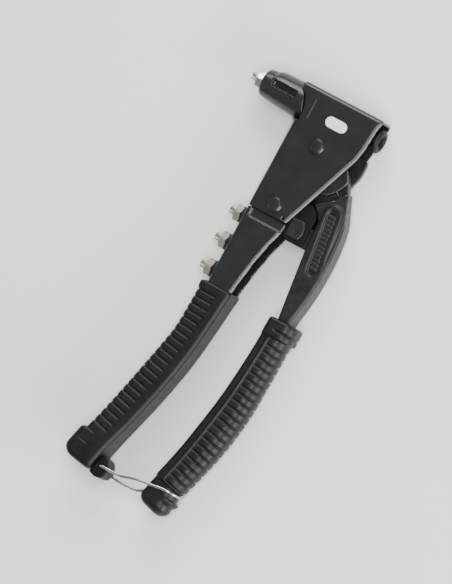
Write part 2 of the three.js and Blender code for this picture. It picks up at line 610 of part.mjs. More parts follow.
function lever() {
  const arm = leverArm(0, -34);
  const shoulder = prismZ(outline([...arcPoints(33.4, -49, -30, 4), [29.3, -13.6, 0.6], [32.6, -22],
    [36.2, -30], [38.2, -35.6], [21.6, -38], [19.2, -33.6], [14.8, -30.4]]), -5.6, 5.6);
  const taper = prismX(outline([[-10, -3.3], [-14, -3.5], [-22, -4.5], [-34, -5.8], [-60, -5.8],
    [-60, 5.8], [-34, 5.8], [-22, 4.5], [-14, 3.5], [-10, 3.3]]), 0, 60);
  const web = prismZ(outline([[-6.4, -7], [8.6, -4.2], [24, -6], [27.6, -12.6], [29, -16], [30, -36],
    [21.6, -37], [19.2, -33.6], [12.4, -28]]), -3.2, 3.2);
  const hub = rodZ(0, 0, 9.6, -LEVER_HALF, LEVER_HALF, 40);
  const nearRib = prismZ(outline([[3, -8.5], [3, 7], [12, 3], [24, -4.6, 1], [27.4, -10.6, 3],
    ...arcPoints(29.6, -31, -50, 4), [14, -24, 3]]), FORK_IN, LEVER_HALF);
  const farRib = prismZ(outline([[3, -8.5], [3, 8.5], ...arcPoints(28.8, 12, -50, 10), [14, -24, 3]]),
    -LEVER_HALF, -FORK_IN);
  const fork = prismZ(outline([[-5, -6], [5, -6], [6.4, 4], [5, 10, 1.5], [1.5, 12.6, 1.5], [1.5, 15.9],
    [2.9, 17], [4.3, 18.9], [4.3, 24.3, 4.2], [-4.3, 24.3, 4.2], [-4.3, 14], [-8, 4]]), FORK_IN, LEVER_HALF);
  const rimBlock = prismZ(outline([[4, -9], [12, -8.6], [26.6, -20.2], ...arcPoints(29.6, -38, -48, 3),
    [14, -24]]), -LEVER_HALF, LEVER_HALF);
  const foot = prismZ(outline([[20.2, -57.4], [24.4, -57.4], [24.4, -43], [20.2, -45, 1]]), -4.6, 4.6);
  const panel = prismZ(panelOutline(GAP), PANEL_FLOOR - GAP, BEYOND);
  const body = join(arm, shoulder.intersect(taper), web, hub, nearRib, farRib, fork,
    fork.mirror([0, 0, 1]), rimBlock, foot);
  return cut(body, rodZ(0, 0, BUSH_R + GAP, -BEYOND, BEYOND, 32), panel);
}

// oval panel on the near face of the lever, leaning with the arm
function panelOutline(grow) {
  const run = PANEL_END.clone().sub(PANEL_TOP).normalize();
  const side = new THREE.Vector2(-run.y, run.x);
  const out = [];
  for (const [middle, sign] of [[PANEL_END, -1], [PANEL_TOP, 1]]) {
    for (let k = 0; k <= 8; k++) {
      const t = Math.PI * k / 8;
      const radius = sign * (PANEL_R + grow);
      const across = side.clone().multiplyScalar(radius * Math.cos(t));
      const lengthwise = run.clone().multiplyScalar(-radius * Math.sin(t));
      out.push(across.add(lengthwise).add(middle));
    }
  }
  return out;
}

function leverPanel() {
  const plate = prismZ(panelOutline(0), PANEL_FLOOR, PANEL_FLOOR + 0.8);
  const ribs = [];
  for (let i = 0; i < PANEL_RIBS; i++) {
    const { x, y } = PANEL_TOP.clone().lerp(PANEL_END, (i + 0.5) / PANEL_RIBS);
    ribs.push(box(x - 2.2, x + 2.2, y - 0.7, y + 0.7, PANEL_FLOOR + 0.4, PANEL_FLOOR + 1.3));
  }
  return join(plate, ...ribs);
}

function pivotBush() {
  const tube = rodZ(0, 0, BUSH_R, -LEVER_HALF, LEVER_HALF, 32);
  return cut(tube, rodZ(0, 0, RIVET_R + GAP, -BEYOND, BEYOND, 28));
}

function leverGrip() {
  const sections = [
    { y: GRIP_TOP_Y, x0: 26.2, x1: 41, half: 8.6, front: 2, rear: 6 },
    { y: -102, x0: 25.3, x1: 43, half: 10.1, front: 2.4, rear: 7 },
    { y: -104, x0: 25.1, x1: 43.6, half: REST, front: 2.4, rear: 7.4 },
    { y: -111.4, x0: 24.8, x1: 43.6, half: REST, front: 2.4, rear: 7.6 },
    { y: -113, x0: 24.7, x1: 42.6, half: 9.6, front: 2.2, rear: 7.8 },
  ];
  for (const y of [-120, -140, -160, -170, -180, -190, -200, -210, -217]) {
    sections.push({ y, x0: along(LEVER_GRIP_FRONT, y), x1: along(LEVER_GRIP_REAR, y), half: 9.4,
      front: 2, rear: 8.3 });
  }
  sections.push({ y: -218.6, x0: 8.8, x1: 26.0, half: 8.1, front: 1.6, rear: 7.4 });
  sections.push({ y: -223.5, x0: 7.5, x1: 25.7, half: 8.0, front: 1.6, rear: 7.4 });
  sections.push({ y: -224.3, x0: 7.2, x1: 27.6, half: 8.1, front: 1.6, rear: 7.4 });
  sections.push({ y: -226.6, x0: 6.6, x1: 26.2, half: 8.1, front: 1.8, rear: 7.4, slope: -0.04 });
  sections.push({ y: -231, x0: 6.2, x1: 24.6, half: 8.1, front: 2, rear: 7.4, slope: -0.1 });
  sections.push({ y: -234.6, x0: 8.2, x1: 22.8, half: 7.4, front: 2.6, rear: 6.8, slope: -0.14 });
  sections.push({ y: -236.6, x0: 11.6, x1: 20.6, half: 5, front: 2.4, rear: 4.4, slope: -0.14 });
  const body = stack(sections.reverse());
  const pocket = leverArm(GAP, -90);
  const bands = [];
  for (let i = 0; i < GROOVE_COUNT; i++) {
    const y = LEVER_GROOVES.first - i * LEVER_GROOVES.pitch;
    const x0 = along(LEVER_GRIP_FRONT, y) + 5.6;
    const x1 = along(LEVER_GRIP_REAR, y);
    const drop = LEVER_GROOVES.lean * (x1 + 3 - x0);
    const slab = prismZ(outline([[x0, y - GROOVE_HALF], [x1 + 3, y - GROOVE_HALF + drop],
      [x1 + 3, y + GROOVE_HALF + drop], [x0, y + GROOVE_HALF]]), -BEYOND, BEYOND);
    const core = prismY(outline([[-8.8, x0 - 1], [8.8, x0 - 1], [8.8, x1 - 8.3], [7.4, x1 - 4.2],
      [4.2, x1 - 1.6], [0, x1 - 0.6], [-4.2, x1 - 1.6], [-7.4, x1 - 4.2], [-8.8, x1 - 8.3]]), y - 9, y + 9);
    bands.push(slab.subtract(core));
  }
  return cut(body, pocket, ...bands);
}

// ---------------------------------------------------------------- assembly
add('head_shell', headShell(), paint);
add('barrel', barrel(), paint);
add('rear_plug', rearPlug(), black);
add('head_label', prismZ(labelOutline(0), HEAD_HALF - 0.5, HEAD_HALF + 0.5), white);
add('pivot_rivet', throughRivet(0, 0), paint);
add('handle_rivet', throughRivet(...HANDLE_RIVET), paint);
add('nosepiece_fitted',
  nosepiece(-60.2, -56.2, BARREL_FRONT_X - GAP, -46.6, AXIS_Y, 2.9, 5.9, 4.6), nickel);
for (let i = 0; i < 3; i++) {
  const y = NOSE_TOP_Y - i * NOSE_PITCH;
  add(`nosepiece_boss_${i + 1}`, noseBoss(y), black);
  add(`nosepiece_spare_${i + 1}`, nosepiece(-32.2, -28.2, BOSS_X - GAP, -18.6, y, 3.4, 5.9, 2.7), nickel);
}
add('jaw_case', jawCase(), steel);
for (let i = 0; i < 3; i++) {
  add(`jaw_${i + 1}`, jaw(i), steel);
}
add('jaw_pusher', jawPusher(), steel);
add('pusher_spring', coil(-12.0, 2.9, 2.3, 0.5, 5), steel);
add('return_spring', coil(8.9, 21.7, 3.75, 0.55, 5), steel);
add('handle_channel', handleChannel(), paint);
add('stop_lug', stopLug(), black);
add('stop_plate', stopPlate(), cast);
add('stop_pin', stopPin(), steel);
add('fixed_grip', fixedGrip(), rubber);
add('latch_lug', latchLug(), black);
add('wire_latch', wireLatch(), steel);
add('lever', lever(), cast);
add('pivot_bush', pivotBush(), brass);
add('lever_panel', leverPanel(), cast);
add('lever_grip', leverGrip(), rubber);

export default group;
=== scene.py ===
"""Looks of the long-handled hand riveter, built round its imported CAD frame.

Shapes are written in millimetres in tool axes: x rearward along the barrel, y toward the top of the head,
z from the tool's mid-plane toward the viewer, with the pivot rivet's axis at x = y = 0. put() turns them into
the row frame, in metres.
"""

import json
import math

import bmesh
import bpy
import numpy as np
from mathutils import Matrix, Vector


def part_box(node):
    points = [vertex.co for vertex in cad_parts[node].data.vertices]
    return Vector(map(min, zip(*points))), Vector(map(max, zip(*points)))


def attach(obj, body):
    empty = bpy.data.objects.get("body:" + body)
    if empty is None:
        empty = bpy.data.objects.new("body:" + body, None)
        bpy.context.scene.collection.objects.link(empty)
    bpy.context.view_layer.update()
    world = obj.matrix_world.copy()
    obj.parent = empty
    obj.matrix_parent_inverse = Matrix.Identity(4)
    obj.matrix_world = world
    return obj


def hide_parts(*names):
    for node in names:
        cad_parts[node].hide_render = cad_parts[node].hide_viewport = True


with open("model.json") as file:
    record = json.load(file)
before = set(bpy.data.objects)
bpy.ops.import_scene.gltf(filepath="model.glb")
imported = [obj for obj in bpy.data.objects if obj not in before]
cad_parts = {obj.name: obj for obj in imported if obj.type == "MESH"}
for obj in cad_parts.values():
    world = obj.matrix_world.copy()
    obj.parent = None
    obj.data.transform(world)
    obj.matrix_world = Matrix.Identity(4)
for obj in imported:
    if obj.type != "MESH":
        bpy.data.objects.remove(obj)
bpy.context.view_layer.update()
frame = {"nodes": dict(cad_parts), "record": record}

# ------------------------------------------------------------------ the frame's own sizes
MM = 0.001


def cad(node):
    """Lowest and highest corner of a CAD node in tool millimetres."""
    low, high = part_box(node)
    return [(Vector(c) / MM) - ORIGIN for c in (low, high)]


PIVOT_LOW, PIVOT_HIGH = [Vector(c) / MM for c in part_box("pivot_rivet")]
ORIGIN = (PIVOT_LOW + PIVOT_HIGH) / 2
REST = ORIGIN.z - PIVOT_LOW.z          # mid-plane to the resting plane
SHELL_HIGH = cad("head_shell")[1]
HEAD_HALF = SHELL_HIGH.z               # mid-plane to the head's outer face
HEAD_TOP = SHELL_HIGH.y
BARREL_FRONT_X = cad("barrel")[0].x
AXIS_Y = (cad("jaw_case")[0].y + cad("jaw_case")[1].y) / 2
PLUG_R = cad("rear_plug")[1].z
HANDLE_RIVET = tuple((a + b) / 2 for a, b in zip(cad("handle_rivet")[0][:2], cad("handle_rivet")[1][:2]))

# ------------------------------------------------------------------ sizes shared by several pieces
GAP = 0.3                  # clearance between neighbouring pieces
SHEET = 2.0                # thickness of the folded steel
HEAD_IN = HEAD_HALF - SHEET
FRONT_X = -21.4            # front face of the head's lower part and of the handle
HEAD_BOTTOM = -49
BARREL_R = 10.9
BARREL_END_X = -18.6       # rear end of the barrel, inside the head
BORE_R = 5.0
RIVET_HOLE_R = 3.8
STOP_PIN = (13.2, -50.4)
NECK_IN = 4.9              # mid-plane to the inner face of the neck's walls and the lever's fork
LATCH = (-25.2, -227.3)    # axis of the wire latch
BEVEL = 1.9                # width of the bevel along the rear edges of head and handle
BEYOND = 12                # reach of a cut that goes right through the tool's width

# ------------------------------------------------------------------ shared outlines, as in the CAD
HEAD_REAR = [(30.3, 31.8, 2.6), (28.7, 26), (27.4, 10, 12), (26, 3, 9), (5.9, HEAD_BOTTOM)]
CHEEK_FRONT = [(-26.3, 29.6), (-25.4, 27), (-22.4, 24), (-20.4, 20), (-18.9, 15), (-18.6, 10.5)]
CHANNEL_FRONT = [(-49, -21.4), (-100, -21.4), (-135, -22.4), (-150, -25.2), (-170, -29.8),
                 (-190, -34.8), (-205, -38.6)]
CHANNEL_REAR = [(-49, 6.2), (-57, 5.3), (-65, 2.9), (-75, 0.4), (-85, -1.5), (-100, -3.8),
                (-120, -7.4), (-150, -11.6), (-170, -16.2), (-190, -21.4), (-205, -26)]
CHANNEL_HALF = [(-49, 8.6), (-57, 8.6), (-98, 7.6), (-104, 7.2), (-205, 7.0)]
FIXED_FRONT = [(-100, -24.1), (-120, -24.6), (-135, -25.4), (-150, -28.3), (-170, -32.9),
               (-190, -37.8), (-212, -43.6), (-235, -49.5)]
FIXED_REAR = [(-100, -3.2), (-120, -5.1), (-150, -9.1), (-170, -13.5), (-190, -18.8),
              (-210, -24.8), (-220, -27.5), (-232, -30.2)]
LEVER_GRIP_FRONT = [(-100, 25.0), (-110, 24.8), (-140, 23), (-160, 20.8), (-180, 17.5),
                    (-200, 13.5), (-220, 8.3), (-232, 5.2), (-240, 3.2)]
LEVER_GRIP_REAR = [(-100, 42), (-120, 41.9), (-140, 41.6), (-160, 40.8), (-170, 39.6),
                   (-180, 37.8), (-190, 35.6), (-200, 32.8), (-210, 29.8), (-218, 27.2)]
ARM_HALF = [(-14, 3.6), (-22, 4.6), (-34, 5.8), (-60, 6.6), (-90, 7.2), (-99, 7.2), (-104, 6.4),
            (-204, 6.0)]
ARM_FRONT = [(-33, 19.2), (-37, 21.3), (-44, 22), (-57.5, 23.1), (-70, 24.8), (-85, 26.8),
             (-99, 28.7), (-104, 29.4), (-140, 27.2)]
ARM_REAR = [(-14, 30.2), (-22, 33.2), (-30, 36.6), (-38, 38.8), (-48, 40.2), (-65, 40.8),
            (-78, 40.2), (-90, 38.7), (-99, 37.3), (-104, 37.2), (-140, 37)]
ARM_END = -104             # below this the arm runs on as a tang inside the grip
TANG_BOTTOM = -204
TANG_FRONT = [(ARM_END, 0), (-140, -2.2), (-170, -6.8), (TANG_BOTTOM, -13.8)]
TANG_REAR = [(ARM_END, 0), (-140, -0.2), (-170, -3.2), (TANG_BOTTOM, -10.6)]
PANEL_TOP = Vector((28.4, -31.6))
PANEL_END = Vector((33.4, -66.0))
PANEL_R = 3.7
PANEL_RIBS = 13


def along(rows, y):
    """Straight-line value at height y from rows of (y, value), highest first."""
    ys = [-r[0] for r in rows]
    return float(np.interp(-y, ys, [r[1] for r in rows]))


def smooth_along(rows, y):
    """Smooth value at height y through the same rows."""
    ys = np.array([-r[0] for r in rows], float)
    vs = np.array([r[1] for r in rows], float)
    t = min(max(-y, ys[0]), ys[-1])
    i = int(min(max(np.searchsorted(ys, t) - 1, 0), len(ys) - 2))
    slopes = np.gradient(vs, ys)
    h = ys[i + 1] - ys[i]
    u = (t - ys[i]) / h
    return float((2 * u**3 - 3 * u**2 + 1) * vs[i] + (u**3 - 2 * u**2 + u) * h * slopes[i]
                 + (3 * u**2 - 2 * u**3) * vs[i + 1] + (u**3 - u**2) * h * slopes[i + 1])


def ramp(value, start, end):
    """0 before start, 1 after end, smooth between."""
    t = min(max((value - start) / (end - start), 0), 1)
    return t * t * (3 - 2 * t)


# ------------------------------------------------------------------ mesh helpers
def put(x, y, z):
    return (Vector((x, y, z)) + ORIGIN) * MM


def mesh_object(name, verts, faces):
    mesh = bpy.data.meshes.new(name)
    mesh.from_pydata([put(*v) for v in verts], [], faces)
    obj = bpy.data.objects.new(name, mesh)
    bpy.context.scene.collection.objects.link(obj)
    bm = bmesh.new()
    bm.from_mesh(mesh)
    bmesh.ops.remove_doubles(bm, verts=bm.verts, dist=1e-7)
    bmesh.ops.recalc_face_normals(bm, faces=bm.faces)
    bm.to_mesh(mesh)
    bm.free()
    return obj


def outline(points, step=math.pi / 18):
    """Points (x, y) or (x, y, corner radius) as a list of (x, y) with the corners rounded."""
    out = []
    count = len(points)
    for i, point in enumerate(points):
        here = Vector(point[:2])
        radius = point[2] if len(point) > 2 else 0
        if not radius:
            out.append(tuple(here))
            continue
        a = (Vector(points[i - 1][:2]) - here).normalized()
        b = (Vector(points[(i + 1) % count][:2]) - here).normalized()
        half = math.acos(min(max(a.dot(b), -1), 1)) / 2
        middle = here + (a + b).normalized() * radius / math.sin(half)
        start = here + a * radius / math.tan(half) - middle
        end = here + b * radius / math.tan(half) - middle
        turn = math.atan2(start.x * end.y - start.y * end.x, start.dot(end))
        steps = max(3, math.ceil(abs(turn) / step))
        for k in range(steps + 1):
            angle = turn * k / steps
            out.append((middle.x + start.x * math.cos(angle) - start.y * math.sin(angle),
                        middle.y + start.x * math.sin(angle) + start.y * math.cos(angle)))
    return out


def rectangle(x0, x1, y0, y1, front, rear):
    """Outline with corner radius front on the x0 side and rear on the x1 side."""
    return outline([(x0, y0, front), (x1, y0, rear), (x1, y1, rear), (x0, y1, front)])


def circle(x, y, radius, sides=48):
    return [(x + radius * math.cos(2 * math.pi * (k + 0.5) / sides),
             y + radius * math.sin(2 * math.pi * (k + 0.5) / sides)) for k in range(sides)]


def prism(name, points, low, high, place):
    n = len(points)
    verts = [place(u, v, low) for u, v in points] + [place(u, v, high) for u, v in points]
    faces = [list(range(n))[::-1], list(range(n, 2 * n))]
    faces += [[k, (k + 1) % n, n + (k + 1) % n, n + k] for k in range(n)]
    return mesh_object(name, verts, faces)


def prism_z(name, points, low, high):
    """Outline in (x, y), thickness along z."""
    return prism(name, points, low, high, lambda u, v, w: (u, v, w))


def prism_x(name, points, low, high):
    """Outline in (y, z), length along x."""
    return prism(name, points, low, high, lambda u, v, w: (w, u, v))


def prism_y(name, points, low, high):
    """Outline in (z, x), length along y."""
    return prism(name, points, low, high, lambda u, v, w: (v, w, u))


def block(name, x0, x1, y0, y1, z0, z1):
    return prism_z(name, [(x0, y0), (x1, y0), (x1, y1), (x0, y1)], z0, z1)


def turned(name, profile, sides, place):
    """Profile of (along, radius), closed on the axis at both ends, turned into a solid."""
    verts, faces, rings = [], [], []
    for along_axis, radius in profile:
        if radius < 1e-6:
            rings.append([len(verts)])
            verts.append(place(along_axis, 0, 0))
            continue
        ring = []
        for k in range(sides):
            angle = 2 * math.pi * k / sides
            ring.append(len(verts))
            verts.append(place(along_axis, radius * math.cos(angle), radius * math.sin(angle)))
        rings.append(ring)
    for a, b in zip(rings, rings[1:]):
        for k in range(sides):
            quad = [a[k % len(a)], a[(k + 1) % len(a)], b[(k + 1) % len(b)], b[k % len(b)]]
            face = list(dict.fromkeys(quad))
            if len(face) > 2:
                faces.append(face)
    return mesh_object(name, verts, faces)


def turned_x(name, profile, y, sides=64):
    return turned(name, profile, sides, lambda s, c, d: (s, y + c, d))


def turned_z(name, profile, x, y, sides=64):
    return turned(name, profile, sides, lambda s, c, d: (x + c, y + d, s))


def section(x0, x1, half, front, rear, per_corner):
    """Rounded-rectangle ring of (x, z); front radius on the x0 side, rear on the x1 side."""
    ring = []
    corners = [(x1 - rear, half - rear, rear, 0), (x0 + front, half - front, front, 1),
               (x0 + front, front - half, front, 2), (x1 - rear, rear - half, rear, 3)]
    for cx, cz, radius, quarter in corners:
        for k in range(per_corner + 1):
            angle = math.pi / 2 * (quarter + k / per_corner)
            ring.append((cx + radius * math.cos(angle), cz + radius * math.sin(angle)))
    return ring


def resampled(ring, count):
    """The same closed ring as count points evenly spaced along it, starting at its first point."""
    pts = np.array(ring + [ring[0]])
    run = np.concatenate([[0], np.cumsum(np.linalg.norm(np.diff(pts, axis=0), axis=1))])
    at = np.linspace(0, run[-1], count, endpoint=False)
    return list(zip(np.interp(at, run, pts[:, 0]), np.interp(at, run, pts[:, 1])))


def stacked(name, rings):
    """Closed solid through rings of (x, y, z) with the same number of points each."""
    n = len(rings[0])
    verts = [v for ring in rings for v in ring]
    faces = [list(range(n)), list(range((len(rings) - 1) * n, len(rings) * n))[::-1]]
    for i in range(len(rings) - 1):
        for k in range(n):
            a, b = i * n + k, i * n + (k + 1) % n
            faces.append([a, a + n, b + n, b])
    return mesh_object(name, verts, faces)


def settle(obj):
    """Applies the object's modifiers."""
    depsgraph = bpy.context.evaluated_depsgraph_get()
    mesh = bpy.data.meshes.new_from_object(obj.evaluated_get(depsgraph))
    old = obj.data
    obj.modifiers.clear()
    obj.data = mesh
    bpy.data.meshes.remove(old)
    return obj


def combine(obj, tool, operation):
    mod = obj.modifiers.new(operation, "BOOLEAN")
    mod.operation = operation
    mod.solver = "EXACT"
    mod.object = tool
    settle(obj)
    bpy.data.objects.remove(tool)
    return obj


def cut(obj, *tools):
    for tool in tools:
        combine(obj, tool, "DIFFERENCE")
    return obj


def fuse(obj, *tools):
    for tool in tools:
        combine(obj, tool, "UNION")
    return obj


def soften(obj, voxel, passes):
    """Rounds every edge the way a pressed or cast surface is rounded; voxel is in millimetres."""
    remesh = obj.modifiers.new("remesh", "REMESH")
    remesh.mode = "VOXEL"
    remesh.voxel_size = voxel * MM
    remesh.use_smooth_shade = True
    relax = obj.modifiers.new("relax", "SMOOTH")
    relax.factor = 0.5
    relax.iterations = passes
    settle(obj)
    return shade(obj)


def chamfer(obj, width, segments=3, angle=35):
    bevel = obj.modifiers.new("edge", "BEVEL")
    bevel.width = width * MM
    bevel.segments = segments
    bevel.limit_method = "ANGLE"
    bevel.angle_limit = math.radians(angle)
    bevel.harden_normals = False
    settle(obj)
    return shade(obj, 40)


def shade(obj, sharp_angle=None):
    for polygon in obj.data.polygons:
        polygon.use_smooth = True
    if sharp_angle:
        obj.data.set_sharp_from_angle(angle=math.radians(sharp_angle))
    return obj


# ------------------------------------------------------------------ materials
def new_material(name):
    material = bpy.data.materials.new(name)
    material.use_nodes = True
    tree = material.node_tree
    return material, tree, tree.nodes["Principled BSDF"]


def node(tree, kind, **values):
    made = tree.nodes.new(kind)
    for key, value in values.items():
        if key in made.inputs:
            made.inputs[key].default_value = value
        else:
            setattr(made, key, value)
    return made


def noise(tree, scale, detail=4.0, rough=0.5, stretch=None):
    texture = node(tree, "ShaderNodeTexNoise")
    texture.inputs["Scale"].default_value = scale
    texture.inputs["Detail"].default_value = detail
    texture.inputs["Roughness"].default_value = rough
    coords = node(tree, "ShaderNodeTexCoord")
    if stretch:
        mapping = node(tree, "ShaderNodeMapping")
        mapping.inputs["Scale"].default_value = stretch
        tree.links.new(coords.outputs["Object"], mapping.inputs["Vector"])
        tree.links.new(mapping.outputs["Vector"], texture.inputs["Vector"])
    else:
        tree.links.new(coords.outputs["Object"], texture.inputs["Vector"])
    return texture.outputs["Fac"]


def spread(tree, value, low, high, from_low=0.3, from_high=0.7):
    """value from its usual span to low..high."""
    made = node(tree, "ShaderNodeMapRange")
    made.inputs["From Min"].default_value = from_low
    made.inputs["From Max"].default_value = from_high
    made.inputs["To Min"].default_value = low
    made.inputs["To Max"].default_value = high
    tree.links.new(value, made.inputs["Value"])
    return made.outputs["Result"]


def mixed(tree, factor, first, second):
    """Colour between first and second; either may be a colour or a socket."""
    made = node(tree, "ShaderNodeMix", data_type="RGBA")
    slots = [s for s in made.inputs if s.type == "RGBA"]
    for socket, colour in zip(slots, (first, second)):
        if isinstance(colour, tuple):
            socket.default_value = (*colour, 1)
        else:
            tree.links.new(colour, socket)
    tree.links.new(factor, made.inputs["Factor"])
    return [s for s in made.outputs if s.type == "RGBA"][0]


def bump(tree, shader, *layers):
    """layers of (height socket, strength, distance in mm), coarsest first."""
    last = None
    for height, strength, distance in layers:
        made = node(tree, "ShaderNodeBump")
        made.inputs["Strength"].default_value = strength
        made.inputs["Distance"].default_value = distance * MM
        tree.links.new(height, made.inputs["Height"])
        if last:
            tree.links.new(last.outputs["Normal"], made.inputs["Normal"])
        last = made
    tree.links.new(last.outputs["Normal"], shader.inputs["Normal"])


def sharp_edge_mask(tree, low, high):
    """1 on sharp outer edges, 0 elsewhere."""
    geometry = node(tree, "ShaderNodeNewGeometry")
    return spread(tree, geometry.outputs["Pointiness"], 0, 1, low, high)


def black_enamel(name, colour, shine, wear_colour, grain, specular=0.5):
    """Sprayed or dipped black finish: slow colour drift, fine orange peel, paler worn edges."""
    material, tree, shader = new_material(name)
    drift = noise(tree, 60, 3)
    base = mixed(tree, spread(tree, drift, 0, 1), colour, tuple(c * 1.2 for c in colour))
    edge_lightened = mixed(tree, sharp_edge_mask(tree, 0.53, 0.62), base, wear_colour)
    tree.links.new(edge_lightened, shader.inputs["Base Color"])
    tree.links.new(spread(tree, noise(tree, 140, 4), shine, shine + 0.07), shader.inputs["Roughness"])
    shader.inputs["Specular IOR Level"].default_value = specular
    bump(tree, shader, (noise(tree, 90, 2), 0.04, 0.2), (noise(tree, grain, 3), 0.16, 0.05))
    return material


def cast_iron(name):
    """Thin satin black over a sand-cast skin."""
    material, tree, shader = new_material(name)
    drift = noise(tree, 110, 5, 0.6)
    base = mixed(tree, spread(tree, drift, 0, 1), (0.008, 0.008, 0.0078), (0.016, 0.0155, 0.015))
    # Sharp edges lightened: partly wear, partly a painted highlight along the lever's rims and the panel's
    # raised borders.
    edge_lightened = mixed(tree, sharp_edge_mask(tree, 0.525, 0.59), base, (0.20, 0.195, 0.187))
    tree.links.new(edge_lightened, shader.inputs["Base Color"])
    tree.links.new(spread(tree, noise(tree, 300, 4), 0.30, 0.46), shader.inputs["Roughness"])
    shader.inputs["Specular IOR Level"].default_value = 0.34
    bump(tree, shader, (noise(tree, 260, 4, 0.6), 0.35, 0.18), (noise(tree, 1300, 2), 0.25, 0.05))
    return material


def moulded_rubber(name):
    """Matt rubber with a fine moulded grain and dust-pale high spots."""
    material, tree, shader = new_material(name)
    drift = noise(tree, 45, 4)
    base = mixed(tree, spread(tree, drift, 0, 1), (0.003, 0.004, 0.0045), (0.006, 0.0076, 0.0082))
    dusty = mixed(tree, sharp_edge_mask(tree, 0.52, 0.66), base, (0.016, 0.018, 0.019))
    tree.links.new(dusty, shader.inputs["Base Color"])
    tree.links.new(spread(tree, noise(tree, 380, 3), 0.38, 0.50), shader.inputs["Roughness"])
    shader.inputs["Specular IOR Level"].default_value = 0.32
    bump(tree, shader, (noise(tree, 220, 3), 0.06, 0.12), (noise(tree, 1900, 2), 0.3, 0.04))
    return material


def plated(name, colour, darker, shine, stretch):
    """Bright metal with fine tool marks and slight tarnish."""
    material, tree, shader = new_material(name)
    tarnish = noise(tree, 320, 5, 0.6)
    tree.links.new(mixed(tree, spread(tree, tarnish, 0, 1, 0.4, 0.75), colour, darker),
                   shader.inputs["Base Color"])
    shader.inputs["Metallic"].default_value = 1.0
    marks = noise(tree, 900, 3, 0.6, stretch)
    tree.links.new(spread(tree, marks, shine, shine + 0.16), shader.inputs["Roughness"])
    bump(tree, shader, (marks, 0.25, 0.03))
    return material


def label_white(name):
    material, tree, shader = new_material(name)
    base = mixed(tree, spread(tree, noise(tree, 200, 4), 0, 1), (0.90, 0.90, 0.88), (0.80, 0.80, 0.78))
    tree.links.new(base, shader.inputs["Base Color"])
    tree.links.new(spread(tree, noise(tree, 500, 3), 0.30, 0.45), shader.inputs["Roughness"])
    bump(tree, shader, (noise(tree, 700, 2), 0.15, 0.04))
    return material


PAINT = black_enamel("body_paint", (0.0125, 0.013, 0.0133), 0.24, (0.05, 0.05, 0.05), 1500)
BLACK = black_enamel("black_parts", (0.003, 0.003, 0.0035), 0.46, (0.02, 0.02, 0.02), 1100, 0.24)
CAST = cast_iron("lever_casting")
RUBBER = moulded_rubber("grip_rubber")
NICKEL = plated("nickel", (0.86, 0.82, 0.68), (0.62, 0.57, 0.43), 0.20, (14, 1, 1))
STEEL = plated("bright_steel", (0.64, 0.62, 0.59), (0.36, 0.34, 0.32), 0.16, (1, 6, 6))
BRONZE = plated("bush", (0.66, 0.48, 0.24), (0.42, 0.29, 0.14), 0.30, (1, 1, 8))
WHITE = label_white("label")
SLOT_MATERIAL = {"body_paint": PAINT, "black_parts": BLACK, "lever_casting": CAST, "grip_rubber": RUBBER,
                 "nickel": NICKEL, "bright_steel": STEEL, "bush": BRONZE, "label": WHITE}
NODE_SLOT = {part["node"]: part["material_slot"] for part in frame["record"]["subparts"]}
NODE_BODY = {n: body for body, nodes in frame["record"]["behaviour"]["bodies"].items() for n in nodes}


def wear(obj, slot_name):
    obj.data.materials.clear()
    obj.data.materials.append(SLOT_MATERIAL[slot_name])


def stand_for(obj, *nodes):
    """obj takes the place, body and finish of these CAD nodes."""
    wear(obj, NODE_SLOT[nodes[0]])
    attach(obj, NODE_BODY[nodes[0]])
    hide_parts(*nodes)
    return obj


# ------------------------------------------------------------------ head
def edge_wedge(a, b, height, width, side):
    """Strip that bevels the edge from a to b, at this height on this side."""
    run = (b - a).normalized()
    outward = Vector((-run.y, run.x))
    over = 0.4
    section_points = [(-width, over), (over, over), (over, -width), (0, -width), (-width, 0)]
    verts = []
    for end in (a - run * over, b + run * over):
        for out, up in section_points:
            point = end + outward * out
            verts.append((point.x, point.y, side * (height + up)))
    count = len(section_points)
    walls = [(i, (i + 1) % count, (i + 1) % count + count, i + count) for i in range(count)]
    return mesh_object("wedge", verts, [tuple(range(count)), tuple(range(count, 2 * count)), *walls])


def rivet_holes(*centres):
    return [prism_z("rivet_hole", circle(x, y, RIVET_HOLE_R), -BEYOND, BEYOND) for x, y in centres]


